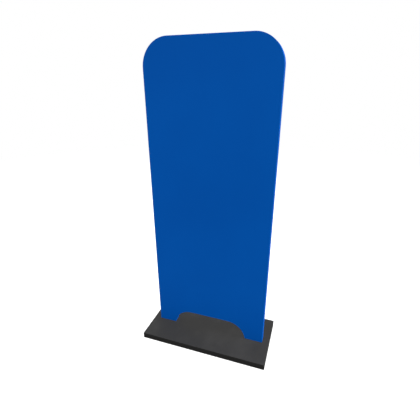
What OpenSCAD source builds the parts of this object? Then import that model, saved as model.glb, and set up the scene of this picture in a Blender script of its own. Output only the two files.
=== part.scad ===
// Free-standing exhibition partition wall: a torsion-box panel with rounded top corners and an
// arched foot, bolted into a hollow weighted steel base that stands on four levelling feet.
// Millimetres. X runs along the wall, Y through it, Z up, origin on the floor at the centre.

/* [Panel] */
// Overall height, floor to top edge
total_h = 2000; // [1500:10:2500]
// Width of the panel
panel_w = 800; // [650:10:1200]
// Thickness of the finished panel
panel_t = 60; // [48:1:90]
// Radius of the two top corners
corner_r = 160; // [90:1:220]
// Thickness of each face board
skin_t = 6; // [4:0.5:9]
// Thickness of the edge lipping
band_t = 2; // [1:0.5:3]

/* [Arch] */
// Width of each foot where it meets the base
foot_w = 126; // [100:1:160]
// Radius of the arch corners
arch_r = 136; // [100:1:170]

/* [Core frame] */
// Width of stiles, rails and corner blocks, seen from the front
rail_w = 45; // [38:1:60]
// Thickness of the inner ribs
rib_t = 12; // [6:1:18]
// Number of upright ribs
rib_columns = 3; // [1:1:5]
// Number of level ribs
rib_rows = 6; // [3:1:9]
// Radius of the dowels
dowel_r = 5; // [4:0.5:6]
// Length of the dowels
dowel_l = 50; // [40:1:60]
// Where the tip of a foot block is cut off, measured from the arch corner centre
block_tip = 32; // [20:1:45]

/* [Feet and fixings] */
// Depth of the feet inside the base, below its top face
foot_seat = 18; // [16:1:22]
// Thickness of the steel plate under each foot
foot_plate_t = 8; // [6:1:10]
// Radius of the panel bolts (M10)
bolt_r = 5; // [4:1:6]
// Length of the panel bolts under the head
bolt_l = 25; // [22:1:30]
// Radius of a panel bolt's head
bolt_head_r = 8; // [7:0.5:9]
// Radius of a washer
washer_r = 10; // [9:0.5:12]
// Thickness of a washer
washer_t = 2; // [1:0.5:2.5]
// Radius of the wood screws that hold a foot plate
wood_screw_r = 2.5; // [2:0.5:3]
// Length of those wood screws
wood_screw_l = 45; // [35:1:50]
// Distance of the wood screws from the panel's middle plane
wood_screw_y = 12; // [8:1:12]

/* [Base] */
// Distance that the base shows beyond the panel at each end
base_overhang = 50; // [40:1:120]
// Depth of the base, front to back
base_d = 440; // [340:5:600]
// Height of the base cover
cover_h = 42; // [42:1:60]
// Sheet thickness of the base cover
cover_t = 3; // [2:0.5:4]
// Sheet thickness of the bottom pan
pan_t = 3; // [3:0.5:4]
// Distance that the pan is set up into the cover
pan_recess = 1; // [0.5:0.5:2]
// Thickness of the ballast plates
ballast_t = 15; // [10:1:15]
// Width of the tubes that stiffen the cover
stiffener_w = 40; // [30:1:60]
// Length of the tubes that stiffen the cover
stiffener_l = 500; // [300:10:510]
// Wall of the tubes that stiffen the cover
stiffener_wall = 2; // [1.5:0.5:3]
// Radius of the bosses that hold the pan to the cover
boss_r = 6; // [5:0.5:8]
// Distance of the outer bosses from the middle of the base
boss_x = 240; // [150:1:250]
// Radius of the pan screws (M5)
pan_screw_r = 2.5; // [2:0.5:3]
// Length of the pan screws
pan_screw_l = 14; // [10:1:14]

/* [Levelling feet] */
// Gap under the base cover when the feet are screwed right in
floor_gap = 3; // [2:0.5:4]
// Distance of each levelling foot from the base's outer faces
leveller_inset = 32; // [26:1:45]
// Radius of the levelling studs (M10)
stud_r = 5; // [4:1:6]
// Length of a levelling stud above its disc
stud_l = 30; // [24:1:32]
// Radius of the welded bush that takes a stud
bush_r = 12; // [9:0.5:14]
// Radius of a foot's steel disc
disc_r = 15; // [13:0.5:18]
// Thickness of a foot's steel disc
disc_t = 5; // [4:0.5:6]
// Thickness of the glide under the disc
glide_t = 3; // [2:0.5:4]
// Wall of the glide's rim around the disc
glide_rim = 2; // [1.5:0.5:3]
// Height of the glide's rim, from the floor
glide_h = 6; // [4:0.5:7]

/* [Clearances] */
// Gap around each foot in the base cover
socket_clear = 1; // [0.5:0.5:2]
// Gap between the pan and the cover's walls
pan_clear = 1; // [0.5:0.5:2]
// Gap at the ends of a foot plate
plate_clear = 2; // [1:0.5:4]
// Gap between neighbouring steel plates in the base
steel_clear = 5; // [3:1:8]
// Glue gap around a dowel and in a half-lap
glue_clear = 0.05; // [0.05:0.05:0.2]
// Gap between a screw and its thread, all round
thread_clear = 0.05; // [0.05:0.05:0.2]
// Gap between a screw and a plain countersunk hole, all round
screw_clear = 0.3; // [0.1:0.1:0.5]
// Gap between a bolt and a plain hole, all round
bolt_clear = 0.5; // [0.25:0.25:1]
// Gap between a levelling foot and what it turns in or against
turn_clear = 0.3; // [0.3:0.1:0.6]
// Gap between a levelling foot's rim and the hole in the pan
hole_clear = 2; // [1:0.5:3]

/* [Hidden] */
$fn = 96;
eps = 1; // how far a cutter runs past the face it cuts

// Panel
half_w = panel_w / 2;
base_top = floor_gap + cover_h;
foot_z = base_top - foot_seat;
core_t = panel_t - 2 * skin_t;
corner_x = half_w - corner_r;
corner_z = total_h - corner_r;
arch_x = half_w - foot_w - arch_r; // centre of an arch corner, level with the foot's underside
frame_edge = half_w - band_t;
stile_in = frame_edge - rail_w;
frame_r = corner_r - band_t;
top_rail_z = total_h - band_t - rail_w;
arch_rail_z = foot_z + arch_r + band_t;
core_z = arch_rail_z + rail_w;
timber_z = foot_z + foot_plate_t;
dowel_edge = 11; // from a rail's edge to its dowels
foot_dowel_drops = [25, 65]; // from the arch rail down to the dowels beside it
rail_dowel_inset = 33; // from the stile to the dowel between foot block and arch rail

// Feet
foot_x = half_w - foot_w / 2;
foot_in = arch_x + sqrt(arch_r * arch_r - foot_seat * foot_seat); // where the arch meets the base top
plate_half = foot_w / 2 - band_t - plate_clear;
plate_d = core_t - plate_clear;
screw_edge = 11; // from a foot plate's end to its wood screws
bolt_edge = 23; // from a foot plate's end to its bolt
bolt_xs = [foot_x - plate_half + bolt_edge, foot_x + plate_half - bolt_edge];
wood_screw_xs = [foot_x - plate_half + screw_edge, foot_x + plate_half - screw_edge];
wood_head_r = 2 * wood_screw_r;
bolt_head_h = 2 * bolt_r;
bolt_key_af = 8;
bolt_key_depth = 5;
pocket_extra = 2;

// Base
base_w = panel_w + 2 * base_overhang;
pan_z = floor_gap + pan_recess;
pan_top = pan_z + pan_t;
cover_in = base_top - cover_t;
inner_w = base_w - 2 * cover_t;
inner_d = base_d - 2 * cover_t;
bearer_w = 2 * plate_half + plate_clear;
leveller_x = base_w / 2 - leveller_inset;
leveller_y = base_d / 2 - leveller_inset;
glide_r = disc_r + glide_rim;
leveller_hole_r = glide_r + hole_clear;
bearer_l = 2 * (leveller_y - leveller_hole_r - hole_clear);
bearer_screw_edge = 20; // from a bearer's end to its screw
bearer_screw_y = bearer_l / 2 - bearer_screw_edge;
counterbore_z = pan_top + bolt_head_h + washer_t;
boss_y = inner_d / 2 - boss_r - steel_clear;
boss_xs = [-boss_x, 0, boss_x];
ballast_half_w = foot_x - bearer_w / 2 - steel_clear;
ballast_y0 = steel_clear;
ballast_y1 = boss_y - boss_r - steel_clear;
ballast_y = (ballast_y0 + ballast_y1) / 2;
ballast_top = pan_top + ballast_t;
ballast_screw_x = 180;
pan_head_r = 2 * pan_screw_r;
pan_head_h = pan_screw_r;
screw_hole_extra = 2;

// Levelling feet
disc_z = glide_t;
stud_z = disc_z + disc_t;
bush_z = stud_z + turn_clear;
key_r = 3.5; // hexagon socket in the underside of a foot, across its corners
key_depth = 7;
corners = [[-1, -1], [1, -1], [-1, 1], [1, 1]];

// Draws a flat outline upright in the XZ plane, from y0 back by t.
module upright(y0, t) {
    translate([0, y0 + t, 0]) rotate([90, 0, 0]) linear_extrude(t) children();
}

// The panel's outer outline with its arch left solid, pulled in by inset and run down by drop.
module outer_outline(inset, drop = 0) {
    translate([-half_w + inset, foot_z - drop])
        square([panel_w - 2 * inset, corner_z - foot_z + drop]);
    translate([-corner_x, corner_z - eps]) square([2 * corner_x, corner_r - inset + eps]);
    for (s = [-1, 1]) translate([s * corner_x, corner_z]) circle(corner_r - inset);
}

// The arch under the panel, grown by grow.
module arch_outline(grow) {
    translate([-arch_x, foot_z - eps]) square([2 * arch_x, arch_r + grow + eps]);
    for (s = [-1, 1]) translate([s * arch_x, foot_z]) circle(arch_r + grow);
}

// Everything above the underside of the feet.
module above_feet() {
    translate([-panel_w, foot_z]) square([2 * panel_w, total_h]);
}

// A box given by its low corner and its high corner.
module span(low, high) {
    translate(low) cube(high - low);
}

// A cylinder along X from x0 to x1 at height z.
module bar_x(x0, x1, z, r) {
    translate([x0, 0, z]) rotate([0, 90, 0]) cylinder(h = x1 - x0, r = r);
}

// A cylinder along Z from z0 to z1.
module bar_z(x, y, z0, z1, r) {
    translate([x, y, z0]) cylinder(h = z1 - z0, r = r);
}

// Every dowel on the right half, with its radius and its ends grown for the bores.
module dowels_right(grow_r = 0, grow_l = 0) {
    half = dowel_l / 2 + grow_l;
    r = dowel_r + grow_r;
    mid = stile_in + rail_w / 2;
    // top rail to corner block, and corner block to stile
    bar_x(corner_x - half, corner_x + half, top_rail_z + rail_w / 2, r);
    bar_z(mid, 0, corner_z - half, corner_z + half, r);
    // arch rail to stile
    for (z = [arch_rail_z + dowel_edge, arch_rail_z + rail_w - dowel_edge])
        bar_x(stile_in - half, stile_in + half, z, r);
    // foot block to stile
    for (drop = foot_dowel_drops)
        bar_x(stile_in - half, stile_in + half, arch_rail_z - drop, r);
    // foot block to arch rail
    bar_z(stile_in - rail_dowel_inset, 0, arch_rail_z - half, arch_rail_z + half, r);
}

module dowel_bores_right() {
    dowels_right(glue_clear, eps);
}

// A countersunk screw pointing up, with its head flush at z = 0.
module countersunk(r, head_r, head_h, length, grow) {
    cylinder(h = head_h, r1 = head_r + grow, r2 = r + grow);
    cylinder(h = length, r = r + grow);
}

// Bolt pockets and wood screw holes in the timber over the right foot.
module foot_holes_right() {
    for (x = bolt_xs)
        bar_z(x, 0, timber_z - eps, counterbore_z + bolt_l + pocket_extra, bolt_r + bolt_clear);
    for (x = wood_screw_xs, y = [-wood_screw_y, wood_screw_y])
        bar_z(x, y, timber_z - eps, foot_z + wood_screw_l + eps, wood_screw_r + thread_clear);
}

// Draws its children on the right (side = 1) or mirrored to the left (side = -1).
module on_side(side) {
    if (side > 0) children();
    else mirror([1, 0, 0]) children();
}

// ---- panel ----

module skin(y0) {
    color("#0050a4") upright(y0, skin_t) difference() {
        outer_outline(band_t);
        arch_outline(band_t);
    }
}

module front_skin() { skin(-panel_t / 2); }
module rear_skin() { skin(panel_t / 2 - skin_t); }

module edge_band() {
    color("#0a62c4") upright(-panel_t / 2, panel_t) difference() {
        outer_outline(0);
        outer_outline(band_t, eps);
    }
}

module arch_edge_band() {
    color("#0a62c4") upright(-panel_t / 2, panel_t) intersection() {
        difference() {
            arch_outline(band_t);
            arch_outline(0);
        }
        above_feet();
    }
}

module stile(side) {
    color("burlywood") on_side(side) difference() {
        span([stile_in, -core_t / 2, timber_z], [frame_edge, core_t / 2, corner_z]);
        dowel_bores_right();
        foot_holes_right();
    }
}

module left_stile() { stile(-1); }
module right_stile() { stile(1); }

module top_rail() {
    color("burlywood") difference() {
        span([-corner_x, -core_t / 2, top_rail_z], [corner_x, core_t / 2, total_h - band_t]);
        for (side = [-1, 1]) on_side(side) dowel_bores_right();
    }
}

module corner_block(side) {
    color("tan") on_side(side) difference() {
        translate([corner_x, core_t / 2, corner_z]) rotate([90, 0, 0]) intersection() {
            difference() {
                cylinder(h = core_t, r = frame_r);
                translate([0, 0, -eps]) cylinder(h = core_t + 2 * eps, r = frame_r - rail_w);
            }
            cube([frame_r + eps, frame_r + eps, core_t]);
        }
        dowel_bores_right();
    }
}

module left_corner_block() { corner_block(-1); }
module right_corner_block() { corner_block(1); }

module arch_rail() {
    color("burlywood") difference() {
        span([-stile_in, -core_t / 2, arch_rail_z], [stile_in, core_t / 2, core_z]);
        for (side = [-1, 1]) on_side(side) dowel_bores_right();
    }
}

module foot_block(side) {
    color("tan") on_side(side) difference() {
        span([arch_x + block_tip, -core_t / 2, timber_z], [stile_in, core_t / 2, arch_rail_z]);
        translate([arch_x, core_t / 2 + eps, foot_z]) rotate([90, 0, 0])
            cylinder(h = core_t + 2 * eps, r = arch_r + band_t);
        dowel_bores_right();
        foot_holes_right();
    }
}

module left_foot_block() { foot_block(-1); }
module right_foot_block() { foot_block(1); }

function column_x(i) = -stile_in + (i + 1) * 2 * stile_in / (rib_columns + 1);
function row_z(i) = core_z + (i + 1) * (top_rail_z - core_z) / (rib_rows + 1);

// Upright ribs are notched from the front, level ribs from the back, so that they cross.
module vertical_ribs() {
    half = rib_t / 2;
    notch = half + glue_clear;
    color("wheat") for (i = [0 : rib_columns - 1]) translate([column_x(i), 0, 0]) difference() {
        span([-half, -core_t / 2, core_z], [half, core_t / 2, top_rail_z]);
        for (j = [0 : rib_rows - 1]) translate([0, 0, row_z(j)])
            span([-rib_t, -core_t, -notch], [rib_t, glue_clear, notch]);
    }
}

module horizontal_ribs() {
    half = rib_t / 2;
    notch = half + glue_clear;
    color("wheat") for (j = [0 : rib_rows - 1]) translate([0, 0, row_z(j)]) difference() {
        span([-stile_in, -core_t / 2, -half], [stile_in, core_t / 2, half]);
        for (i = [0 : rib_columns - 1]) translate([column_x(i), 0, 0])
            span([-notch, -glue_clear, -rib_t], [notch, core_t, rib_t]);
    }
}

module frame_dowels() {
    color("peru") for (side = [-1, 1]) on_side(side) dowels_right();
}

module foot_plate(side) {
    color("silver") on_side(side) difference() {
        span([foot_x - plate_half, -plate_d / 2, foot_z], [foot_x + plate_half, plate_d / 2, timber_z]);
        for (x = bolt_xs) bar_z(x, 0, foot_z - eps, timber_z + eps, bolt_r);
        for (x = wood_screw_xs, y = [-wood_screw_y, wood_screw_y]) {
            translate([x, y, foot_z])
                countersunk(wood_screw_r, wood_head_r, wood_screw_r, foot_plate_t + eps, screw_clear);
        }
    }
}

module left_foot_plate() { foot_plate(-1); }
module right_foot_plate() { foot_plate(1); }

module foot_plate_screws() {
    color("gold") for (side = [-1, 1]) on_side(side)
        for (x = wood_screw_xs, y = [-wood_screw_y, wood_screw_y]) translate([x, y, foot_z])
            countersunk(wood_screw_r, wood_head_r, wood_screw_r, wood_screw_l, 0);
}

// ---- base ----

module base_cover() {
    color("#3f3f41") difference() {
        span([-base_w / 2, -base_d / 2, floor_gap], [base_w / 2, base_d / 2, base_top]);
        span([-inner_w / 2, -inner_d / 2, floor_gap - eps], [inner_w / 2, inner_d / 2, cover_in]);
        for (side = [-1, 1]) on_side(side)
            span(
                [foot_in - socket_clear, -panel_t / 2 - socket_clear, cover_in - eps],
                [half_w + socket_clear, panel_t / 2 + socket_clear, base_top + eps]
            );
    }
}

// Places its children at every pan screw: under the bosses, the bearers and the ballast.
module at_boss_screws() {
    for (x = boss_xs, s = [-1, 1]) translate([x, s * boss_y, pan_z]) children();
}

module at_bearer_screws() {
    for (sx = [-1, 1], sy = [-1, 1])
        translate([sx * foot_x, sy * bearer_screw_y, pan_z]) children();
}

module at_ballast_screws() {
    for (sx = [-1, 1], sy = [-1, 1])
        translate([sx * ballast_screw_x, sy * ballast_y, pan_z]) children();
}

module pan_screw(grow = 0, extra = 0) {
    countersunk(pan_screw_r, pan_head_r, pan_head_h, pan_screw_l + extra, grow - thread_clear);
}

module bottom_pan() {
    half = [inner_w / 2 - pan_clear, inner_d / 2 - pan_clear];
    color("#2e2e30") difference() {
        span([-half[0], -half[1], pan_z], [half[0], half[1], pan_top]);
        for (c = corners) bar_z(
            c[0] * leveller_x, c[1] * leveller_y, pan_z - eps, pan_top + eps, leveller_hole_r
        );
        for (side = [-1, 1], x = bolt_xs)
            bar_z(side * x, 0, pan_z - eps, pan_top + eps, washer_r + bolt_clear);
        at_boss_screws() pan_screw(screw_clear);
        at_bearer_screws() pan_screw(screw_clear);
        at_ballast_screws() pan_screw(screw_clear);
    }
}

module bearer(side) {
    color("dimgray") difference() {
        on_side(side) span(
            [foot_x - bearer_w / 2, -bearer_l / 2, pan_top],
            [foot_x + bearer_w / 2, bearer_l / 2, foot_z]
        );
        for (x = bolt_xs) {
            bar_z(side * x, 0, pan_top - eps, counterbore_z, washer_r + bolt_clear);
            bar_z(side * x, 0, counterbore_z - eps, foot_z + eps, bolt_r + bolt_clear);
        }
        at_bearer_screws() pan_screw(thread_clear, screw_hole_extra);
    }
}

module left_bearer() { bearer(-1); }
module right_bearer() { bearer(1); }

module ballast_plate(sy) {
    color("slategray") difference() {
        translate([0, sy * ballast_y, 0]) span(
            [-ballast_half_w, ballast_y0 - ballast_y, pan_top],
            [ballast_half_w, ballast_y1 - ballast_y, ballast_top]
        );
        at_ballast_screws() pan_screw(thread_clear, screw_hole_extra);
    }
}

module front_ballast_plate() { ballast_plate(-1); }
module rear_ballast_plate() { ballast_plate(1); }

module cover_stiffener(sy) {
    half_l = stiffener_l / 2;
    half = stiffener_w / 2;
    color("gray") translate([0, sy * ballast_y, 0]) difference() {
        span([-half_l, -half, ballast_top], [half_l, half, cover_in]);
        span(
            [-half_l - eps, -half + stiffener_wall, ballast_top + stiffener_wall],
            [half_l + eps, half - stiffener_wall, cover_in - stiffener_wall]
        );
    }
}

module front_stiffener() { cover_stiffener(-1); }
module rear_stiffener() { cover_stiffener(1); }

module cover_bosses() {
    color("gray") difference() {
        for (x = boss_xs, s = [-1, 1]) bar_z(x, s * boss_y, pan_top, cover_in, boss_r);
        at_boss_screws() pan_screw(thread_clear, screw_hole_extra);
    }
}

module pan_screws() { color("gainsboro") at_boss_screws() pan_screw(); }
module bearer_screws() { color("gainsboro") at_bearer_screws() pan_screw(); }
module ballast_screws() { color("gainsboro") at_ballast_screws() pan_screw(); }

module panel_bolts() {
    head_z = counterbore_z - washer_t - bolt_head_h;
    tip_z = head_z + bolt_head_h + bolt_l;
    color("gainsboro") for (side = [-1, 1], x = bolt_xs) difference() {
        union() {
            bar_z(side * x, 0, head_z, head_z + bolt_head_h, bolt_head_r);
            bar_z(side * x, 0, head_z, tip_z, bolt_r - thread_clear);
        }
        translate([side * x, 0, head_z - eps])
            cylinder(h = bolt_key_depth + eps, d = bolt_key_af / cos(30), $fn = 6);
    }
}

module bolt_washers() {
    color("gainsboro") for (side = [-1, 1], x = bolt_xs) difference() {
        bar_z(side * x, 0, counterbore_z - washer_t, counterbore_z, washer_r);
        bar_z(side * x, 0, counterbore_z - washer_t - eps, counterbore_z + eps, bolt_r + bolt_clear);
    }
}

module levelling_bushes() {
    color("gray") for (c = corners) difference() {
        bar_z(c[0] * leveller_x, c[1] * leveller_y, bush_z, cover_in, bush_r);
        bar_z(c[0] * leveller_x, c[1] * leveller_y, bush_z - eps, cover_in + eps, stud_r);
    }
}

// ---- levelling feet ----

module levelling_foot(corner) {
    color("lightgray") translate([corner[0] * leveller_x, corner[1] * leveller_y, 0]) difference() {
        rotate_extrude() polygon([
            [0, disc_z], [disc_r - thread_clear, disc_z], [disc_r - thread_clear, stud_z - 1],
            [disc_r - 1, stud_z], [stud_r - thread_clear, stud_z],
            [stud_r - thread_clear, stud_z + stud_l - 1], [stud_r - 1, stud_z + stud_l],
            [0, stud_z + stud_l]
        ]);
        translate([0, 0, disc_z - eps]) cylinder(h = key_depth + eps, r = key_r, $fn = 6);
    }
}

module glide(corner) {
    color("#1c1c1c") translate([corner[0] * leveller_x, corner[1] * leveller_y, 0])
        rotate_extrude() polygon([
            [stud_r, 0], [glide_r - 1, 0], [glide_r, 1], [glide_r, glide_h],
            [disc_r, glide_h], [disc_r, glide_t], [stud_r, glide_t]
        ]);
}

module front_left_levelling_foot() { levelling_foot(corners[0]); }
module front_right_levelling_foot() { levelling_foot(corners[1]); }
module rear_left_levelling_foot() { levelling_foot(corners[2]); }
module rear_right_levelling_foot() { levelling_foot(corners[3]); }
module front_left_glide() { glide(corners[0]); }
module front_right_glide() { glide(corners[1]); }
module rear_left_glide() { glide(corners[2]); }
module rear_right_glide() { glide(corners[3]); }

front_skin();
rear_skin();
edge_band();
arch_edge_band();
left_stile();
right_stile();
top_rail();
left_corner_block();
right_corner_block();
arch_rail();
left_foot_block();
right_foot_block();
vertical_ribs();
horizontal_ribs();
frame_dowels();
left_foot_plate();
right_foot_plate();
foot_plate_screws();
base_cover();
bottom_pan();
left_bearer();
right_bearer();
front_ballast_plate();
rear_ballast_plate();
front_stiffener();
rear_stiffener();
cover_bosses();
pan_screws();
bearer_screws();
ballast_screws();
panel_bolts();
bolt_washers();
levelling_bushes();
front_left_levelling_foot();
front_right_levelling_foot();
rear_left_levelling_foot();
rear_right_levelling_foot();
front_left_glide();
front_right_glide();
rear_left_glide();
rear_right_glide();
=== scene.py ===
# %% [markdown]
# # A free-standing exhibition partition wall
# The real object is a flat board that stands on a heavy, low base. The board is a torsion box: two
# thin face boards on a light timber core, with a lipping round every edge, all sprayed with one
# satin blue lacquer. The base is a folded steel cover over ballast, in a dark textured powder coat.
# The working design comes from the CAD model. Blender adds what a maker's hand and a finish add.

# %% Load the design
import math

import bmesh
import bpy
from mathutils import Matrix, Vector


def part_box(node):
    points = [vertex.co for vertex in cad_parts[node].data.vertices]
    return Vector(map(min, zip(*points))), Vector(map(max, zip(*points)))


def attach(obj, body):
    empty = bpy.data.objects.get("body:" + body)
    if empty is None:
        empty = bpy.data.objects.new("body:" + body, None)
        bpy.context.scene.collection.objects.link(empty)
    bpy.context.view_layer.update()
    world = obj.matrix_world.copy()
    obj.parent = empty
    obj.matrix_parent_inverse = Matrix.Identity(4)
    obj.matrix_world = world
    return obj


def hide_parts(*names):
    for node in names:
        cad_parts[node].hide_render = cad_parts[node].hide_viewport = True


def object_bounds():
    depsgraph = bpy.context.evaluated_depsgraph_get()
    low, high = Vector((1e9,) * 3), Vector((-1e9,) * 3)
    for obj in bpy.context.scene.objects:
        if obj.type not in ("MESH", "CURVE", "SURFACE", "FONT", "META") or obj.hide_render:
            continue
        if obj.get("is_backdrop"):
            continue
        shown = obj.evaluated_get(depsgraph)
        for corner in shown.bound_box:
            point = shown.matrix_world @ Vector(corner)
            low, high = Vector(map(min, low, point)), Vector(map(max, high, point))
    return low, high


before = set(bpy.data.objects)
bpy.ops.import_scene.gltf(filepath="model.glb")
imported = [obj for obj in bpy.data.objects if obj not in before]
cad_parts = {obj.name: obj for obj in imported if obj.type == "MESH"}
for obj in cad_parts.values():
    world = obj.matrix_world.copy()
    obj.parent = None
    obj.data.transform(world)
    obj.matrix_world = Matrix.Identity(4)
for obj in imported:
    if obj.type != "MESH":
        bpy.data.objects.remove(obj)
cad_low, cad_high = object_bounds()
bpy.ops.object.select_all(action="DESELECT")

# %% [markdown]
# ## The camera
# A camera at a standing person's eye level, a step to the right of the middle and close enough to
# need a wide lens, makes the board taper downwards. It is placed first, so that every later choice
# of detail can be judged from it.

# %% Place the camera
EYE = Vector((0.5917, -1.7436, 1.7478))
TILT_DOWN = math.radians(22.005)
TURN_LEFT = math.radians(18.795)
LENS_MM = 26.34
SENSOR_MM = 36.0

bpy.ops.object.camera_add(location=EYE, rotation=(math.pi / 2 - TILT_DOWN, 0, TURN_LEFT))
camera = bpy.context.object
camera.name = "eye_level_camera"
camera.data.lens = LENS_MM
camera.data.sensor_width = SENSOR_MM
bpy.context.scene.camera = camera
print(f"camera {EYE.z:.2f} m above the floor, {math.hypot(EYE.x, EYE.y):.2f} m from the wall's middle")

# %% [markdown]
# ## Measuring the design
# Every later size comes from the boxes of the CAD pieces, so nothing is fitted by eye. The lipping
# stands outside the face boards, so the difference of their boxes is its thickness. A corner block
# is a quarter ring, so its box ends at the centre of the rounded corner.

# %% Read the board's sizes
board_low, board_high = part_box("edge_band")
arch_low, arch_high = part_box("arch_edge_band")
LIPPING = board_high.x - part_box("front_skin")[1].x
CORNER_RADIUS = board_high.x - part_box("right_corner_block")[0].x
ARCH_RADIUS = arch_high.z - arch_low.z - LIPPING
ARCH_HALF_FLAT = arch_high.x - LIPPING - ARCH_RADIUS
print(f"board {board_high.x - board_low.x:.3f} m wide")
print(f"corners {CORNER_RADIUS:.3f} m in radius, arch {ARCH_RADIUS:.3f} m")

# %% Read the base's sizes
base_low, base_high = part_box("base_cover")
SHEET = base_high.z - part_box("front_stiffener")[1].z
base_size = base_high - base_low
print(f"base {base_size.x:.2f} x {base_size.y:.2f} m in {SHEET * 1000:.0f} mm sheet")

# %% [markdown]
# ## Working as by hand
# Blender's operators act on whatever is selected, so each tool first clears the selection. Edges and
# faces are then picked by a plain test on their place, the way a modeller clicks on them.


# %% Start a piece from a box
def start_box(name, low, high):
    """A box between two corners, with its size applied, so that its object is at the origin."""
    low, high = Vector(low), Vector(high)
    bpy.ops.object.select_all(action="DESELECT")
    bpy.ops.mesh.primitive_cube_add(size=1, location=(low + high) / 2, scale=high - low)
    bpy.ops.object.transform_apply(location=True, rotation=True, scale=True)
    piece = bpy.context.object
    piece.name = name
    return piece


# %% Select in edit mode
def pick(piece, kind, test):
    """Enters edit mode with only the edges or faces selected that pass the test. Returns how many."""
    bpy.ops.object.select_all(action="DESELECT")
    bpy.context.view_layer.objects.active = piece
    piece.select_set(True)
    bpy.ops.object.mode_set(mode="EDIT")
    bpy.ops.mesh.select_mode(type="EDGE" if kind == "edges" else "FACE")
    bpy.ops.mesh.select_all(action="DESELECT")
    form = bmesh.from_edit_mesh(piece.data)
    chosen = [part for part in getattr(form, kind) if test(part)]
    for part in chosen:
        part.select_set(True)
    form.select_flush_mode()
    bmesh.update_edit_mesh(piece.data)
    return len(chosen)


def leave():
    bpy.ops.object.mode_set(mode="OBJECT")


# %% Round the edges that pass a test
def round_edges(piece, test, radius, segments):
    count = pick(piece, "edges", test)
    bpy.ops.mesh.bevel(offset=radius, segments=segments, profile=0.5, affect="EDGES")
    leave()
    return count


def along(edge, axis):
    """True where an edge runs along X (0), Y (1) or Z (2)."""
    run = edge.verts[1].co - edge.verts[0].co
    return abs(run[axis]) > 0.999 * run.length


# %% Apply a modifier
def apply_modifier(piece, kind, **settings):
    bpy.ops.object.select_all(action="DESELECT")
    bpy.context.view_layer.objects.active = piece
    piece.select_set(True)
    modifier = piece.modifiers.new(kind.lower(), kind)
    for key, value in settings.items():
        setattr(modifier, key, value)
    bpy.ops.object.modifier_apply(modifier=modifier.name)


# %% Join, cut or trim one piece with another
WELD = 5e-6


def unite(piece, other, operation):
    """Combines a piece with another, then welds the slivers that the meeting edges leave."""
    apply_modifier(piece, "BOOLEAN", operation=operation, solver="EXACT", object=other)
    bpy.data.objects.remove(other)
    pick(piece, "edges", lambda e: True)
    bpy.ops.mesh.remove_doubles(threshold=WELD)
    leave()


def cut(piece, cutter):
    unite(piece, cutter, "DIFFERENCE")


# %% Give a piece its shading
SMOOTH_BELOW = math.radians(40)


def shade(piece):
    """Smooth rounds beside dead-flat faces: the big faces decide the normals where they meet."""
    bpy.ops.object.select_all(action="DESELECT")
    bpy.context.view_layer.objects.active = piece
    piece.select_set(True)
    bpy.ops.object.shade_smooth_by_angle(angle=SMOOTH_BELOW)
    apply_modifier(piece, "WEIGHTED_NORMAL", mode="FACE_AREA", weight=100, keep_sharp=True)


print("tools ready: start_box, pick, round_edges, unite, cut, shade")

# %% [markdown]
# ## The outline of the board
# The board is a slab with two rounded top corners and an arch between its feet. A carpenter saws it
# with a router and a template. Here a box is bevelled at its two top edges, and a second box,
# bevelled to the arch's radius, is cut out of it. One function makes it at any inset, because the
# face boards and the lipping follow the same line.

# %% Make a slab with the board's outline
ARC_STEPS = 36
TOLERANCE = 1e-5
OVERSHOOT = 0.05


def slab(name, inset, y_front, y_back, drop=0.0):
    """The board's outer outline, pulled in by inset and run down by drop. The arch is left solid."""
    low = (board_low.x + inset, y_front, board_low.z - drop)
    high = (board_high.x - inset, y_back, board_high.z - inset)
    piece = start_box(name, low, high)
    top = board_high.z - inset - TOLERANCE
    round_edges(
        piece,
        lambda e: along(e, 1) and e.verts[0].co.z > top,
        CORNER_RADIUS - inset,
        ARC_STEPS,
    )
    return piece


def arch_block(name, grow, y_front, y_back, drop):
    """The space of the arch, grown by grow, and run down by drop."""
    reach = ARCH_HALF_FLAT + ARCH_RADIUS + grow
    top = arch_low.z + ARCH_RADIUS + grow
    piece = start_box(name, (-reach, y_front, arch_low.z - drop), (reach, y_back, top))
    round_edges(
        piece,
        lambda e: along(e, 1) and e.verts[0].co.z > top - TOLERANCE,
        ARCH_RADIUS + grow,
        ARC_STEPS,
    )
    return piece


# %% [markdown]
# ## The two face boards
# Each face board is 6 mm MDF, glued to the core and trimmed flush. Where it meets the lipping there
# is a joint as fine as a hair under the lacquer, so its outline gets a chamfer of a tenth of a
# millimetre: enough to catch light in a close view, and nothing from across the room.

# %% Model the face boards
HAIRLINE = 0.0001


def face_board(name, node, face_y):
    low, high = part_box(node)
    piece = slab(name, LIPPING, low.y, high.y)
    cutter = arch_block("arch_cutter", LIPPING, low.y - OVERSHOOT, high.y + OVERSHOOT, OVERSHOOT)
    cut(piece, cutter)
    bottom = low.z + TOLERANCE

    def on_outline(edge):
        a, b = (v.co for v in edge.verts)
        on_face = abs(a.y - face_y) < TOLERANCE and abs(b.y - face_y) < TOLERANCE
        return on_face and not (a.z < bottom and b.z < bottom)

    edges = round_edges(piece, on_outline, HAIRLINE, 1)
    shade(piece)
    print(f"{name}: {edges} edges round its outline, {len(piece.data.polygons)} faces")
    return piece


front_board = face_board("front_face_board", "front_skin", board_low.y)
rear_board = face_board("rear_face_board", "rear_skin", board_high.y)

# %% [markdown]
# ## The lipping
# The lipping closes the sandwich and takes the knocks. Its outer arrises are rounded to about one
# millimetre with sandpaper before spraying, because lacquer runs off a sharp edge. Two strips do the
# work: one goes up, round both corners and down, and the other lines the arch.

# %% Model the outer lipping and the arch lipping
ARRIS = 0.0011
ARRIS_STEPS = 4


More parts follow.
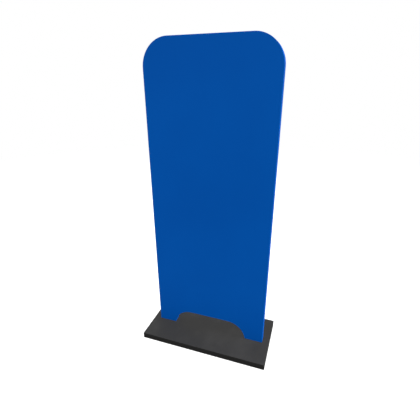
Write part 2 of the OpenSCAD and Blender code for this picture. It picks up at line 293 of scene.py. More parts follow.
def off_outline(point):
    """How far inside the board's outer outline a point lies, seen from the front."""
    centre_x, centre_z = board_high.x - CORNER_RADIUS, board_high.z - CORNER_RADIUS
    dx, dz = abs(point.x) - centre_x, point.z - centre_z
    if dx > 0 and dz > 0:
        return CORNER_RADIUS - math.hypot(dx, dz)
    return min(board_high.x - abs(point.x), board_high.z - point.z)


def off_arch(point):
    """How far outside the arch's opening a point lies, seen from the front."""
    dx, dz = max(abs(point.x) - ARCH_HALF_FLAT, 0), point.z - arch_low.z
    return math.hypot(dx, dz) - ARCH_RADIUS


def round_lipping(piece, depth):
    """Rounds the outer arrises, then breaks the hidden inner ones by a hair."""
    near = 2e-4

    def rim(edge, offset):
        a, b = (v.co for v in edge.verts)
        at_face = min(abs(a.y - board_low.y), abs(a.y - board_high.y)) < TOLERANCE
        same_face = abs(a.y - b.y) < TOLERANCE
        return at_face and same_face and all(abs(depth(p) - offset) < near for p in (a, b))

    outer = round_edges(piece, lambda e: rim(e, 0.0), ARRIS, ARRIS_STEPS)
    round_edges(piece, lambda e: rim(e, LIPPING), HAIRLINE, 1)
    shade(piece)
    print(f"{piece.name}: {outer} arris edges rounded to {ARRIS * 1000:.1f} mm")


outer_lipping = slab("outer_lipping", 0.0, board_low.y, board_high.y)
core = slab("core_cutter", LIPPING, board_low.y - OVERSHOOT, board_high.y + OVERSHOOT, OVERSHOOT)
cut(outer_lipping, core)
round_lipping(outer_lipping, off_outline)

arch_lipping = arch_block("arch_lipping", LIPPING, board_low.y, board_high.y, 0.0)
opening = arch_block(
    "arch_cutter", 0.0, board_low.y - OVERSHOOT, board_high.y + OVERSHOOT, OVERSHOOT
)
cut(arch_lipping, opening)
round_lipping(arch_lipping, off_arch)

# %% [markdown]
# ## The base cover
# The cover is one sheet of 3 mm steel, cut with two sockets for the feet, folded down on four sides
# and welded at the corners. A fold leaves a small radius, and the welds are ground to match it. The
# box loses its floor, its edges are rounded, and Solidify gives the sheet its thickness inwards.

# %% Fold the cover
FOLD_RADIUS = 0.0035
FOLD_STEPS = 5

base_cover = start_box("folded_base_cover", base_low, base_high)
pick(base_cover, "faces", lambda f: f.normal.z < -0.9)
bpy.ops.mesh.delete(type="FACE")
leave()
folds = round_edges(
    base_cover,
    lambda e: along(e, 2) or min(v.co.z for v in e.verts) > base_high.z - TOLERANCE,
    FOLD_RADIUS,
    FOLD_STEPS,
)
apply_modifier(base_cover, "SOLIDIFY", thickness=SHEET, offset=-1, use_even_offset=True)
print(f"{base_cover.name}: {folds} folds and corners at {FOLD_RADIUS * 1000:.1f} mm")

# %% [markdown]
# The sockets are punched a millimetre larger than the feet all round, and their rims are deburred.
# Their inner end follows the foot where it passes through the sheet, which is a little above the
# centre of the arch's corner, so the arch's own circle gives its place.

# %% Punch the sockets
SOCKET_GAP = 0.001
DEBURR = 0.0005

rise = base_high.z - arch_low.z
foot_inner = ARCH_HALF_FLAT + math.sqrt(ARCH_RADIUS**2 - rise**2)
for side in (-1, 1):
    ends = sorted((side * (foot_inner - SOCKET_GAP), side * (board_high.x + SOCKET_GAP)))
    punch = start_box(
        "socket_punch",
        (ends[0], board_low.y - SOCKET_GAP, base_high.z - 3 * SHEET),
        (ends[1], board_high.y + SOCKET_GAP, base_high.z + SHEET),
    )
    cut(base_cover, punch)


def socket_rim(edge):
    inside = all(
        abs(v.co.x) < board_high.x + 2 * SOCKET_GAP and abs(v.co.y) < board_high.y + 2 * SOCKET_GAP
        for v in edge.verts
    )
    return inside and min(v.co.z for v in edge.verts) > base_high.z - TOLERANCE


rims = round_edges(base_cover, socket_rim, DEBURR, 2)
shade(base_cover)
print(f"{base_cover.name}: {rims} rim edges deburred, {len(base_cover.data.polygons)} faces")

# %% [markdown]
# ## Drawing a profile
# Turned parts start from a drawn half-profile that is spun round an axis. The line is drawn as by
# hand: one vertex, then one extrusion for each further point.


# %% Draw a line and turn it
SAME_POINT = 1e-6


def draw_line(name, points):
    """A chain of edges through points in the XZ plane."""
    bpy.ops.object.select_all(action="DESELECT")
    bpy.ops.mesh.primitive_plane_add(size=1)
    piece = bpy.context.object
    piece.name = name
    bpy.ops.object.mode_set(mode="EDIT")
    bpy.ops.mesh.select_mode(type="VERT")
    bpy.ops.mesh.select_all(action="SELECT")
    bpy.ops.mesh.merge(type="CENTER")
    bpy.ops.transform.translate(value=(points[0][0], 0, points[0][1]))
    for (x0, z0), (x1, z1) in zip(points, points[1:]):
        bpy.ops.mesh.extrude_region_move(TRANSFORM_OT_translate={"value": (x1 - x0, 0, z1 - z0)})
    bpy.ops.mesh.select_all(action="SELECT")
    bpy.ops.mesh.remove_doubles(threshold=SAME_POINT)
    leave()
    return piece


def turn(name, points, steps):
    """Spins a half-profile all the way round the Z axis and closes it."""
    piece = draw_line(name, points)
    pick(piece, "edges", lambda e: True)
    bpy.ops.mesh.spin(steps=steps, angle=2 * math.pi, center=(0, 0, 0), axis=(0, 0, 1))
    bpy.ops.mesh.select_all(action="SELECT")
    bpy.ops.mesh.remove_doubles(threshold=SAME_POINT)
    bpy.ops.mesh.normals_make_consistent(inside=False)
    leave()
    return piece


# %% Join and copy finished pieces
def join(first, *others):
    bpy.ops.object.select_all(action="DESELECT")
    for piece in (first, *others):
        piece.select_set(True)
    bpy.context.view_layer.objects.active = first
    bpy.ops.object.join()
    return first


def copy_to(piece, name, place):
    """A copy with its own mesh, moved, and with the move applied."""
    bpy.ops.object.select_all(action="DESELECT")
    bpy.context.view_layer.objects.active = piece
    piece.select_set(True)
    bpy.ops.object.duplicate(linked=False)
    twin = bpy.context.object
    twin.name = name
    bpy.ops.transform.translate(value=place)
    bpy.ops.object.transform_apply(location=True, rotation=True, scale=True)
    return twin


print("lathe ready: draw_line, turn, join, copy_to")

# %% [markdown]
# ## The levelling feet
# Each corner stands on a steel disc with a threaded stud, which screws up into a bush in the base.
# The disc and the core of the stud are turned in one piece, and every other facet of the disc's rim
# is sunk to make a coarse knurl for the fingers. The thread is wound on the core afterwards.

# %% Read the foot's sizes
foot_low, foot_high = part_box("front_left_levelling_foot")
glide_low, glide_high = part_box("front_left_glide")
FOOT_X = (foot_low.x + foot_high.x) / 2
FOOT_Y = (foot_low.y + foot_high.y) / 2
DISC_RADIUS = (foot_high.x - foot_low.x) / 2
GLIDE_RADIUS = (glide_high.x - glide_low.x) / 2
STUD_RADIUS = 0.00495
DISC_HEIGHT = 0.005
DISC_TOP = foot_low.z + DISC_HEIGHT
PITCH = 0.0015
THREAD_DEPTH = 0.0009
print(f"foot at {FOOT_X:.3f}, {FOOT_Y:.3f}; disc {DISC_RADIUS * 2000:.1f} mm across")

# %% Turn the disc and the core of the stud
CHAMFER = 0.001
TOP_BREAK = 0.0003
KNURL_STEPS = 48
KNURL_DEPTH = 0.0004
EDGE_BREAK = 0.0006

root = STUD_RADIUS - THREAD_DEPTH
levelling_foot = turn(
    "levelling_foot",
    [
        (0, foot_low.z),
        (DISC_RADIUS - EDGE_BREAK, foot_low.z),
        (DISC_RADIUS, foot_low.z + EDGE_BREAK),
        (DISC_RADIUS, DISC_TOP - EDGE_BREAK),
        (DISC_RADIUS - EDGE_BREAK, DISC_TOP),
        (root, DISC_TOP),
        (root, foot_high.z - TOP_BREAK),
        (root - TOP_BREAK, foot_high.z),
        (0, foot_high.z),
    ],
    KNURL_STEPS,
)
print(f"disc and core: {len(levelling_foot.data.polygons)} faces")

# %% Knurl the disc
def every_other_facet(face):
    centre = face.calc_center_median()
    step = round(math.atan2(centre.y, centre.x) / (2 * math.pi) * KNURL_STEPS - 0.5)
    return abs(face.normal.z) < 0.1 and step % 2 == 0


def sink_facets(piece, test, depth):
    """Sinks every other facet of a turned rim, with steep little walls between."""
    count = pick(piece, "faces", lambda f: every_other_facet(f) and test(f.calc_center_median()))
    bpy.ops.mesh.inset(thickness=KNURL_DEPTH / 2, use_individual=True)
    bpy.ops.transform.shrink_fatten(value=-depth)
    leave()
    return count


sunk = sink_facets(levelling_foot, lambda c: math.hypot(c.x, c.y) > 0.9 * DISC_RADIUS, KNURL_DEPTH)
print(f"{sunk} facets sunk for the knurl")

# %% [markdown]
# The Screw modifier sweeps a closed outline of one tooth up a helix, like a wire wound on a bar. The
# tooth reaches a little into the core and starts inside the disc, so that the union has no seam in
# plain sight. Before that, the top of the wire is trimmed to a cone, which is the stud's chamfer.

# %% Wind the thread
THREAD_STEPS = 32
TOOTH_SINK = 0.00015

sunk_root = root - TOOTH_SINK
crest_half = PITCH / 16
root_half = PITCH / 20
thread_start = DISC_TOP - 1.5 * PITCH
turns = math.ceil((foot_high.z - thread_start) / PITCH)
thread = draw_line(
    "stud_thread",
    [
        (sunk_root, thread_start + root_half),
        (STUD_RADIUS, thread_start + PITCH / 2 - crest_half),
        (STUD_RADIUS, thread_start + PITCH / 2 + crest_half),
        (sunk_root, thread_start + PITCH - root_half),
        (sunk_root, thread_start + root_half),
    ],
)
apply_modifier(
    thread,
    "SCREW",
    axis="Z",
    angle=2 * math.pi,
    screw_offset=PITCH,
    iterations=turns,
    steps=THREAD_STEPS,
    render_steps=THREAD_STEPS,
)
for at_start in (True, False):
    pick(
        thread,
        "edges",
        lambda e: e.is_boundary and (e.verts[0].co.z < thread_start + PITCH) == at_start,
    )
    bpy.ops.mesh.edge_face_add()
    leave()
pick(thread, "faces", lambda f: True)
bpy.ops.mesh.normals_make_consistent(inside=False)
leave()
print(f"thread of {turns} turns, {len(thread.data.polygons)} faces")

# %% Trim the thread with a chamfered envelope
envelope = turn(
    "stud_envelope",
    [
        (0, thread_start - PITCH),
        (STUD_RADIUS + PITCH, thread_start - PITCH),
        (STUD_RADIUS + PITCH, foot_high.z - CHAMFER - PITCH),
        (STUD_RADIUS - CHAMFER, foot_high.z - HAIRLINE),
        (0, foot_high.z - HAIRLINE),
    ],
    KNURL_STEPS,
)
unite(thread, envelope, "INTERSECT")
unite(levelling_foot, thread, "UNION")
print(f"levelling foot with its thread: {len(levelling_foot.data.polygons)} faces")

# %% Broach the key socket
KEY_RADIUS = 0.0035
KEY_DEPTH = 0.007


def hexagon(name, radius, low_z, high_z):
    bpy.ops.object.select_all(action="DESELECT")
    bpy.ops.mesh.primitive_cylinder_add(
        vertices=6, radius=radius, depth=high_z - low_z, location=(0, 0, (low_z + high_z) / 2)
    )
    piece = bpy.context.object
    bpy.ops.object.transform_apply(location=True, rotation=True, scale=True)
    piece.name = name
    return piece


cut(levelling_foot, hexagon("key_cutter", KEY_RADIUS, foot_low.z - CHAMFER, foot_low.z + KEY_DEPTH))
shade(levelling_foot)
print(f"levelling foot: {len(levelling_foot.data.polygons)} faces")

# %% [markdown]
# The glide is a moulded nylon cup that snaps over the disc, with a hole for the key. Moulded edges
# are never sharp, so the whole ring gets a small bevel wherever two faces meet at more than a slant.

# %% Mould the glide
MOULD_RADIUS = 0.0005
GLIDE_STEPS = 64

cup_radius = DISC_RADIUS + HAIRLINE / 2
glide = turn(
    "glide",
    [
        (STUD_RADIUS, 0),
        (GLIDE_RADIUS - 2 * MOULD_RADIUS, 0),
        (GLIDE_RADIUS, 2 * MOULD_RADIUS),
        (GLIDE_RADIUS, glide_high.z),
        (cup_radius, glide_high.z),
        (cup_radius, foot_low.z),
        (STUD_RADIUS, foot_low.z),
        (STUD_RADIUS, 0),
    ],
    GLIDE_STEPS,
)
apply_modifier(
    glide, "BEVEL", width=MOULD_RADIUS, segments=3, limit_method="ANGLE", angle_limit=math.radians(30)
)
shade(glide)
print(f"glide: {len(glide.data.polygons)} faces")

# %% Set one foot and one glide at each corner
corners = {
    "front_left": (FOOT_X, FOOT_Y),
    "front_right": (-FOOT_X, FOOT_Y),
    "rear_left": (FOOT_X, -FOOT_Y),
    "rear_right": (-FOOT_X, -FOOT_Y),
}
feet = {}
for corner, (x, y) in corners.items():
    feet[corner] = (
        copy_to(levelling_foot, f"{corner}_threaded_foot", (x, y, 0)),
        copy_to(glide, f"{corner}_nylon_glide", (x, y, 0)),
    )
for pattern in (levelling_foot, glide):
    bpy.data.objects.remove(pattern)
print("feet at", ", ".join(feet))

# %% [markdown]
# ## Fasteners seen from below
# When the wall is tipped, its underside shows countersunk screws flush with the pan and, through four
# holes, the heads of the bolts that hold the board. One of each is turned, broached and copied.

# %% Turn a countersunk screw
pan_screw_low, pan_screw_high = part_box("pan_screws")
SCREW_HEAD = 0.00495
SCREW_SHANK = 0.00245
SCREW_KEY = 0.0017
SCREW_KEY_DEPTH = 0.0016
SCREW_STEPS = 32
LAND = 0.0002

head_z = pan_screw_low.z
screw = turn(
    "countersunk_screw",
    [
        (0, head_z),
        (SCREW_HEAD - LAND, head_z),
        (SCREW_HEAD, head_z + LAND),
        (SCREW_SHANK, head_z + SCREW_HEAD - SCREW_SHANK),
        (SCREW_SHANK, pan_screw_high.z - LAND),
        (SCREW_SHANK - LAND, pan_screw_high.z),
        (0, pan_screw_high.z),
    ],
    SCREW_STEPS,
)
cut(screw, hexagon("key_cutter", SCREW_KEY, head_z - LAND, head_z + SCREW_KEY_DEPTH))
shade(screw)

# %% Set the screws in their rows
def corner_rows(node, radius, columns):
    """Centres of a rectangular pattern, from the box of the CAD screws."""
    low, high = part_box(node)
    first, last = low.x + radius, high.x - radius
    xs = [first + (last - first) * i / (columns - 1) for i in range(columns)]
    return [(x, y, 0) for x in xs for y in (low.y + radius, high.y - radius)]


def set_pattern(name, pattern, places):
    copies = [copy_to(pattern, f"{name}_{i}", place) for i, place in enumerate(places)]
    joined = join(*copies)
    joined.name = name
    print(f"{name}: {len(places)} set")
    return joined


screw_rows = {
    "pan_screws": set_pattern("pan_edge_screws", screw, corner_rows("pan_screws", SCREW_HEAD, 3)),
    "bearer_screws": set_pattern(
        "bearer_row_screws", screw, corner_rows("bearer_screws", SCREW_HEAD, 2)
    ),
    "ballast_screws": set_pattern(
        "ballast_row_screws", screw, corner_rows("ballast_screws", SCREW_HEAD, 2)
    ),
}
bpy.data.objects.remove(screw)

# %% Turn, knurl and set the panel bolts
bolt_low, bolt_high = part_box("panel_bolts")
BOLT_HEAD = (bolt_high.y - bolt_low.y) / 2
BOLT_HEAD_HEIGHT = 0.010
BOLT_KEY = 0.004 / math.cos(math.pi / 6)
BOLT_KEY_DEPTH = 0.005
BOLT_EDGE = 0.023

bolt = turn(
    "socket_bolt",
    [
        (0, bolt_low.z),
        (BOLT_HEAD - EDGE_BREAK, bolt_low.z),
        (BOLT_HEAD, bolt_low.z + EDGE_BREAK),
        (BOLT_HEAD, bolt_low.z + BOLT_HEAD_HEIGHT),
        (STUD_RADIUS, bolt_low.z + BOLT_HEAD_HEIGHT),
        (STUD_RADIUS, bolt_high.z - CHAMFER),
        (STUD_RADIUS - CHAMFER, bolt_high.z),
        (0, bolt_high.z),
    ],
    KNURL_STEPS,
)
sink_facets(bolt, lambda c: c.z < bolt_low.z + 0.9 * BOLT_HEAD_HEIGHT, KNURL_DEPTH / 2)
cut(bolt, hexagon("key_cutter", BOLT_KEY, bolt_low.z - LAND, bolt_low.z + BOLT_KEY_DEPTH))
shade(bolt)
bolt_places = []
for node in ("left_foot_plate", "right_foot_plate"):
    low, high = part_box(node)
    bolt_places += [(low.x + BOLT_EDGE, 0, 0), (high.x - BOLT_EDGE, 0, 0)]
panel_bolts = set_pattern("panel_socket_bolts", bolt, bolt_places)
bpy.data.objects.remove(bolt)

# %% [markdown]
# ## Mixing finishes
# A finish is a small program of shader nodes. Signal wraps a node's output so that arithmetic in
# Python adds the Math nodes, and Finish holds one material with a single method for any other node.
# Everything is placed by the object's own coordinates, in metres, so that a pattern keeps its real
# size and never slides over the surface.


# %% A socket that understands arithmetic
class Signal:
    def __init__(self, finish, socket):
        self.finish = finish
        self.socket = socket

    def __add__(self, other):
        return self.finish.maths("ADD", self, other)

    def __sub__(self, other):
        return self.finish.maths("SUBTRACT", self, other)

    def __rsub__(self, other):
        return self.finish.maths("SUBTRACT", other, self)

    def __mul__(self, other):
        return self.finish.maths("MULTIPLY", self, other)

    __radd__ = __add__
    __rmul__ = __mul__


# %% A finish under construction
class Finish:
    def __init__(self, name, **fixed):
        self.material = bpy.data.materials.new(name)
        self.material.use_nodes = True
        self.tree = self.material.node_tree
        self.shader = self.tree.nodes["Principled BSDF"]
        for key, value in fixed.items():
            self.shader.inputs[key.replace("_", " ")].default_value = value
        self.place = self.node("ShaderNodeTexCoord", output="Object")

    def node(self, kind, settings=None, inputs=None, output=0):
        made = self.tree.nodes.new(kind)
        for key, value in (settings or {}).items():
            if key == "stops":
                self.set_stops(made.color_ramp, value)
            else:
                setattr(made, key, value)
        for key, value in (inputs or {}).items():
            if isinstance(value, Signal):
                self.tree.links.new(value.socket, made.inputs[key])
            else:
                made.inputs[key].default_value = value
        return Signal(self, made.outputs[output])

    def set_stops(self, ramp, stops):
        while len(ramp.elements) < len(stops):
            ramp.elements.new(0.5)
        for element, (position, colour) in zip(ramp.elements, stops):
            element.position = position
            element.color = (*colour, 1)

    def maths(self, operation, a, b=0.0):
        return self.node("ShaderNodeMath", {"operation": operation}, {0: a, 1: b})

    def noise(self, scale, detail=2.0, roughness=0.5, vector=None):
        values = {"Vector": vector or self.place, "Scale": scale}
        values |= {"Detail": detail, "Roughness": roughness}
        return self.node("ShaderNodeTexNoise", {}, values)

    def stretch(self, scale):
        return self.node("ShaderNodeMapping", {}, {"Vector": self.place, "Scale": scale})

    def step(self, value, low, high):
        """0 below low, 1 above high, and a smooth rise between; low may be the larger."""
        settings = {"interpolation_type": "SMOOTHSTEP"}
        return self.node("ShaderNodeMapRange", settings, {"Value": value, 1: low, 2: high})

    def blend(self, factor, a, b):
        a, b = ((*c, 1) if isinstance(c, tuple) else c for c in (a, b))
        return self.node("ShaderNodeMix", {"data_type": "RGBA"}, {0: factor, 6: a, 7: b}, 2)

    def axis(self, name):
        return self.node("ShaderNodeSeparateXYZ", {}, {0: self.place}, name)

    def bump(self, height, distance, strength=1.0, under=None):
        values = {"Height": height, "Distance": distance, "Strength": strength}
        if under is not None:
            values["Normal"] = under
        return self.node("ShaderNodeBump", {}, values)

    def finish(self, **outputs):
        for key, signal in outputs.items():
            self.tree.links.new(signal.socket, self.shader.inputs[key.replace("_", " ")])
        print(f"{self.material.name}: {len(self.tree.nodes)} nodes")
        return self.material


# %% [markdown]
# ## Satin blue lacquer
# Sprayed lacquer is even in colour, and its character is in its surface: a faint orange peel about
# six millimetres across, a fine grain from the last dry coat, and dull patches where it was handled
# or wiped. Low on the board, feet and brooms leave pale scuffs, so these fade out above knee height.

# %% Mix the lacquer
BLUE = (0.0006, 0.131, 0.62)
BLUE_DEEP = (0.0005, 0.120, 0.583)
BLUE_RUBBED = (0.012, 0.165, 0.68)
SCUFF_HEIGHT = 0.32


def blue_lacquer(name, edge_wear):
    f = Finish(name, Specular_IOR_Level=0.04)
    height = f.axis("Z")
    cloud = f.noise(1.4, 3)
    handled = f.noise(7.0, 4, 0.6)
    peel = f.noise(165.0, 1.5)
    grain = f.noise(1900.0, 2)
    streaks = f.noise(1.0, 5, 0.65, f.stretch((26, 26, 190)))
    low_down = f.step(height, SCUFF_HEIGHT, base_high.z)
    scuffs = f.step(streaks, 0.60, 0.74) * low_down * 0.55
    colour = f.blend(f.step(cloud, 0.3, 0.7), BLUE_DEEP, BLUE)
    colour = f.blend(scuffs, colour, BLUE_RUBBED)
    if edge_wear:
        depth = f.maths("ABSOLUTE", f.axis("Y"))
        arris = f.step(depth, board_high.y - ARRIS, board_high.y - ARRIS / 4)
        rubbed = arris * f.step(f.noise(38.0, 4, 0.6), 0.50, 0.68) * 0.6
        colour = f.blend(rubbed, colour, BLUE_RUBBED)
    roughness = 0.46 + handled * 0.10 + scuffs * 0.20
    normal = f.bump(grain, 0.00004, 0.25, f.bump(peel, 0.00012, 0.35))
    return f.finish(Base_Color=colour, Roughness=roughness, Normal=normal)


lacquer = blue_lacquer("satin_blue_lacquer", edge_wear=False)
edge_lacquer = blue_lacquer("satin_blue_lacquer_edges", edge_wear=True)

# %% [markdown]
# ## Dark powder coat
# Fine-texture powder melts into tiny hard bumps, well under a millimetre, which scatter the light
# and hide fingerprints. Shoes grey the rim of a base with streaks, and dust settles in patches on
# its top.

# %% Mix the powder coat
GRAPHITE = (0.0228, 0.0225, 0.0221)
GRAPHITE_PALE = (0.0324, 0.0320, 0.0315)
DUST = (0.080, 0.078, 0.075)
RIM_BAND = 0.0008


def powder_coat(name, shoe_wear):
    f = Finish(name, Specular_IOR_Level=0.15)
    texture = f.noise(1150.0, 2, 0.55)
    lumps = f.noise(330.0, 2)
    patches = f.noise(5.0, 4, 0.6)
    colour = f.blend(f.step(texture, 0.35, 0.8), GRAPHITE, GRAPHITE_PALE)
    roughness = 0.50 + patches * 0.18
    if shoe_wear:
        height = f.axis("Z")
        top = f.step(height, base_high.z - RIM_BAND, base_high.z)
        dust = top * f.step(patches, 0.42, 0.80) * 0.16
        marks = f.noise(1.0, 5, 0.7, f.stretch((14, 60, 60)))
        colour = f.blend(dust, colour, DUST)
        colour = f.blend(f.step(marks, 0.62, 0.72) * 0.20, colour, DUST)
        roughness = roughness + dust * 0.6
    normal = f.bump(texture, 0.00045, 0.85, f.bump(lumps, 0.00020, 0.40))
    return f.finish(Base_Color=colour, Roughness=roughness, Normal=normal)


powder = powder_coat("fine_texture_powder", shoe_wear=True)
pan_powder = powder_coat("fine_texture_powder_underside", shoe_wear=False)

# %% [markdown]
# ## Timber, plywood and beech
# The core is never seen while the wall is whole, but each piece still has its own wood. Growth rings
# are bands across the piece, drawn out along its grain. Plywood shows its plies as stripes on every
# sawn edge, and the dowels are plain fine beech.

# %% Mix the woods
ALONG_X = (0.06, 1, 1)
ALONG_Z = (1, 1, 0.06)


def timber(name, grain, early, late, rings):
    f = Finish(name)
    drawn = f.stretch(grain)
    wander = f.noise(9.0, 3, 0.5, drawn)
    fibre = f.noise(620.0, 3, 0.6, drawn)
    cross = f.node("ShaderNodeSeparateXYZ", {}, {0: drawn}, "X" if grain is ALONG_Z else "Z")
    band = f.maths("FRACT", cross * rings + wander * 3.0)
    late_wood = f.step(band, 0.45, 0.95) * (1 - f.step(band, 0.95, 1.0))
    colour = f.blend(late_wood * 0.75 + fibre * 0.25, early, late)
    normal = f.bump(fibre, 0.00012, 0.5)
    return f.finish(Base_Color=colour, Roughness=0.55 + fibre * 0.2, Normal=normal)


def plywood(name):
    f = Finish(name)
    plies = f.maths("FRACT", f.axis("Y") * 310.0 + f.noise(30.0, 2) * 0.25)
    glue = f.step(plies, 0.46, 0.50) * (1 - f.step(plies, 0.94, 0.98))
    fibre = f.noise(420.0, 3, 0.6, f.stretch((1, 1, 0.15)))
    colour = f.blend(glue, (0.60, 0.43, 0.25), (0.42, 0.27, 0.14))
    colour = f.blend(fibre * 0.5, colour, (0.70, 0.53, 0.33))
    return f.finish(Base_Color=colour, Roughness=0.5 + fibre * 0.3, Normal=f.bump(fibre, 0.0001, 0.4))


SPRUCE, SPRUCE_LATE = (0.66, 0.48, 0.27), (0.47, 0.28, 0.12)
spruce_up = timber("spruce_along_stiles", ALONG_Z, SPRUCE, SPRUCE_LATE, 240.0)
spruce_across = timber("spruce_along_rails", ALONG_X, SPRUCE, SPRUCE_LATE, 240.0)
beech = timber("beech_dowel", ALONG_X, (0.60, 0.39, 0.21), (0.50, 0.29, 0.14), 900.0)
birch_ply = plywood("birch_plywood")

# %% [markdown]
# ## Metals and nylon
# Zinc plating is a metal with a faint mottled tint. The steel inside the base is only primed, with a
# flat dark coat. The glides are nylon: a deep grey with a slight sheen and the drag marks of floors.

# %% Mix the metals and the nylon
def zinc_plate():
    f = Finish("bright_zinc_plating", Metallic=1.0)
    mottle = f.noise(90.0, 3, 0.6)
    brushed = f.noise(2600.0, 2)
    colour = f.blend(f.step(mottle, 0.35, 0.7), (0.56, 0.57, 0.60), (0.66, 0.64, 0.57))
    roughness = 0.26 + mottle * 0.14 + brushed * 0.08
    return f.finish(Base_Color=colour, Roughness=roughness, Normal=f.bump(brushed, 0.00003, 0.4))


def primed_steel():
    f = Finish("grey_steel_primer", Specular_IOR_Level=0.3)
    runs = f.noise(22.0, 4, 0.6)
    mill = f.noise(520.0, 3, 0.6)
    colour = f.blend(runs, (0.075, 0.072, 0.070), (0.125, 0.118, 0.112))
    return f.finish(Base_Color=colour, Roughness=0.6 + mill * 0.2, Normal=f.bump(mill, 0.0001, 0.4))


def nylon():
    f = Finish("black_nylon")
    rings = f.noise(60.0, 3, 0.5)
    scratches = f.noise(1.0, 4, 0.7, f.stretch((900, 60, 300)))
    colour = f.blend(f.step(scratches, 0.55, 0.75), (0.016, 0.016, 0.017), (0.060, 0.060, 0.060))
    normal = f.bump(scratches, 0.00006, 0.5)
    return f.finish(Base_Color=colour, Roughness=0.38 + rings * 0.2, Normal=normal)


zinc, primer, glide_nylon = zinc_plate(), primed_steel(), nylon()

# %% [markdown]
# ## Putting the finishes on
# New pieces take a material, a body to ride on and the CAD nodes that they stand for. CAD pieces
# whose shape is already right keep their mesh and only change their material.


# %% Finish the new pieces
def dress(piece, material, body, slot, *nodes):
    piece.data.materials.clear()
    piece.data.materials.append(material)
    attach(piece, body)
    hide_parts(*nodes)


WALL = "wall"
dress(front_board, lacquer, WALL, "panel_lacquer", "front_skin")
dress(rear_board, lacquer, WALL, "panel_lacquer", "rear_skin")
dress(outer_lipping, edge_lacquer, WALL, "edge_lipping", "edge_band")
dress(arch_lipping, edge_lacquer, WALL, "edge_lipping", "arch_edge_band")
dress(base_cover, powder, WALL, "dark_powder_coat", "base_cover")
dress(panel_bolts, zinc, WALL, "zinc_plate", "panel_bolts")
for node, rows in screw_rows.items():
    dress(rows, zinc, WALL, "zinc_plate", node)
for corner, (foot, pad) in feet.items():
    dress(foot, zinc, f"{corner}_foot", "zinc_plate", f"{corner}_levelling_foot")
    dress(pad, glide_nylon, f"{corner}_foot", "black_glide", f"{corner}_glide")
print("dressed the new pieces")

# %% Finish the CAD pieces that stay
keeps = {
    spruce_up: ("left_stile", "right_stile"),
    spruce_across: ("top_rail", "arch_rail"),
    birch_ply: (
        "left_corner_block", "right_corner_block", "left_foot_block", "right_foot_block",
        "vertical_ribs", "horizontal_ribs",
    ),
    beech: ("frame_dowels",),
    primer: (
        "left_bearer", "right_bearer", "front_ballast_plate", "rear_ballast_plate",
        "front_stiffener", "rear_stiffener", "cover_bosses", "levelling_bushes",
    ),
    zinc: ("left_foot_plate", "right_foot_plate", "foot_plate_screws", "bolt_washers"),
    pan_powder: ("bottom_pan",),
}
for material, nodes in keeps.items():
    for node in nodes:
        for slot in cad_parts[node].material_slots:
            slot.material = material
hidden = {"front_skin", "rear_skin", "edge_band", "arch_edge_band", "base_cover", "panel_bolts"}
hidden |= set(screw_rows) | {f"{c}_{part}" for c in corners for part in ("levelling_foot", "glide")}
plain = set(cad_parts) - hidden - {n for nodes in keeps.values() for n in nodes}
print("CAD pieces left plain:", sorted(plain) or "none")

# %% [markdown]
# ## The studio
# The floor is a wide pale sheet that fades into a white surround, so that no horizon shows. It is
# there for the eye only: it throws no light back up, and nothing reflects it, or the faces would
# wash out. The main light stands high on the right in line with the board, so it brightens the
# right edge and the top of the base. It casts no shadow, as a wall of soft lamps would hardly cast
# one. The surround lights the faces, more from above than from below, so they stay even down to
# the base, and it is dimmer in reflections, which keeps the blue deep.

# %% Lay the floor
FLOOR_SIZE = 80.0
FLOOR_WHITE = (0.86, 0.86, 0.86)
FADE_FROM = 2.4
FADE_TO = 8.0

bpy.ops.object.select_all(action="DESELECT")
bpy.ops.mesh.primitive_plane_add(size=FLOOR_SIZE, location=(0, 0, cad_low.z))
floor = bpy.context.object
floor.name = "studio_floor"
floor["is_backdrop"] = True
pale = Finish("pale_floor", Roughness=0.9, Specular_IOR_Level=0.1)
distance = pale.node("ShaderNodeVectorMath", {"operation": "LENGTH"}, {0: pale.place}, "Value")
pale.shader.inputs["Base Color"].default_value = (*FLOOR_WHITE, 1)
glow = pale.node("ShaderNodeEmission", {}, {"Color": (1, 1, 1, 1), "Strength": 1.0})
mixed = pale.node(
    "ShaderNodeMixShader",
    {},
    {
        0: pale.step(distance, FADE_FROM, FADE_TO),
        1: Signal(pale, pale.shader.outputs[0]),
        2: glow,
    },
)
output = pale.tree.nodes["Material Output"]
pale.tree.links.new(mixed.socket, output.inputs["Surface"])
floor.data.materials.append(pale.material)
floor.visible_diffuse = False
floor.visible_glossy = False
print(f"floor {FLOOR_SIZE:.0f} m wide, fading to white from {FADE_FROM} to {FADE_TO} m")

# %% Hang the key light
KEY_STRENGTH = 4.1
KEY_WIDTH = math.radians(28)
KEY_FROM = Vector((0.49, 0, 0.87))
KEY_DISTANCE = 6.0

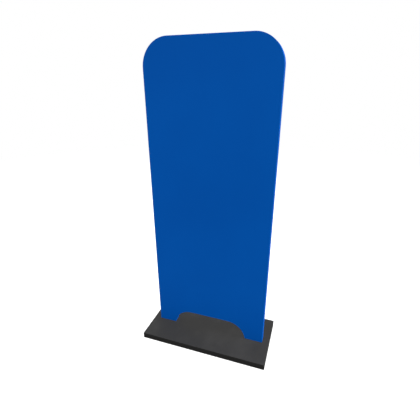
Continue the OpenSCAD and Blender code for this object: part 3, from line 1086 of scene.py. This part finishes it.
bpy.ops.object.light_add(type="SUN", location=KEY_FROM * KEY_DISTANCE)
key_light = bpy.context.object
key_light.name = "key_from_upper_right"
key_light.data.energy = KEY_STRENGTH
key_light.data.angle = KEY_WIDTH
key_light.data.use_shadow = False
key_light.rotation_euler = KEY_FROM.to_track_quat("Z", "Y").to_euler()
print(f"key light {KEY_STRENGTH} W/m2, {math.degrees(KEY_WIDTH):.0f} degrees wide")

# %% [markdown]
# The surround is one background whose strength depends on who asks. A ray that comes off a dull
# surface finds the light of its direction, a ray off a glossy one finds a dimmer light, and the
# camera finds plain white. Map Range picks between two strengths each time.

# %% Build the surround
SURROUND_ABOVE = 0.74
SURROUND_BELOW = 0.26
SURROUND_GLOSS = 0.20
SURROUND_SEEN = 1.0
HORIZON_BLUR = 0.15

world = bpy.data.worlds.new("white_surround")
bpy.context.scene.world = world
world.use_nodes = True


def between(value, low, high, first=0.0, last=1.0):
    """A strength from low to high, as value goes from first to last. Low may be another's output."""
    picker = world.node_tree.nodes.new("ShaderNodeMapRange")
    picker.inputs["From Min"].default_value = first
    picker.inputs["From Max"].default_value = last
    if isinstance(low, bpy.types.NodeSocket):
        world.node_tree.links.new(low, picker.inputs["To Min"])
    else:
        picker.inputs["To Min"].default_value = low
    picker.inputs["To Max"].default_value = high
    world.node_tree.links.new(value, picker.inputs["Value"])
    return picker.outputs["Result"]


aim = world.node_tree.nodes.new("ShaderNodeTexCoord")
aim_parts = world.node_tree.nodes.new("ShaderNodeSeparateXYZ")
world.node_tree.links.new(aim.outputs["Generated"], aim_parts.inputs[0])
paths = world.node_tree.nodes.new("ShaderNodeLightPath")
dull = between(aim_parts.outputs["Z"], SURROUND_BELOW, SURROUND_ABOVE, -HORIZON_BLUR, HORIZON_BLUR)
glossy = between(paths.outputs["Is Glossy Ray"], dull, SURROUND_GLOSS)
strength = between(paths.outputs["Is Camera Ray"], glossy, SURROUND_SEEN)
backdrop = world.node_tree.nodes["Background"]
backdrop.inputs["Color"].default_value = (1, 1, 1, 1)
world.node_tree.links.new(strength, backdrop.inputs["Strength"])
bpy.context.scene.view_settings.view_transform = "Standard"
print(f"surround {SURROUND_BELOW} from below to {SURROUND_ABOVE} from above")

# %% [markdown]
# ## Closing
# The box of the finished model is printed.

# %% Write the sizes and finish
low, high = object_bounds()
print("visual box", [round(c, 4) for c in (*low, *high)])
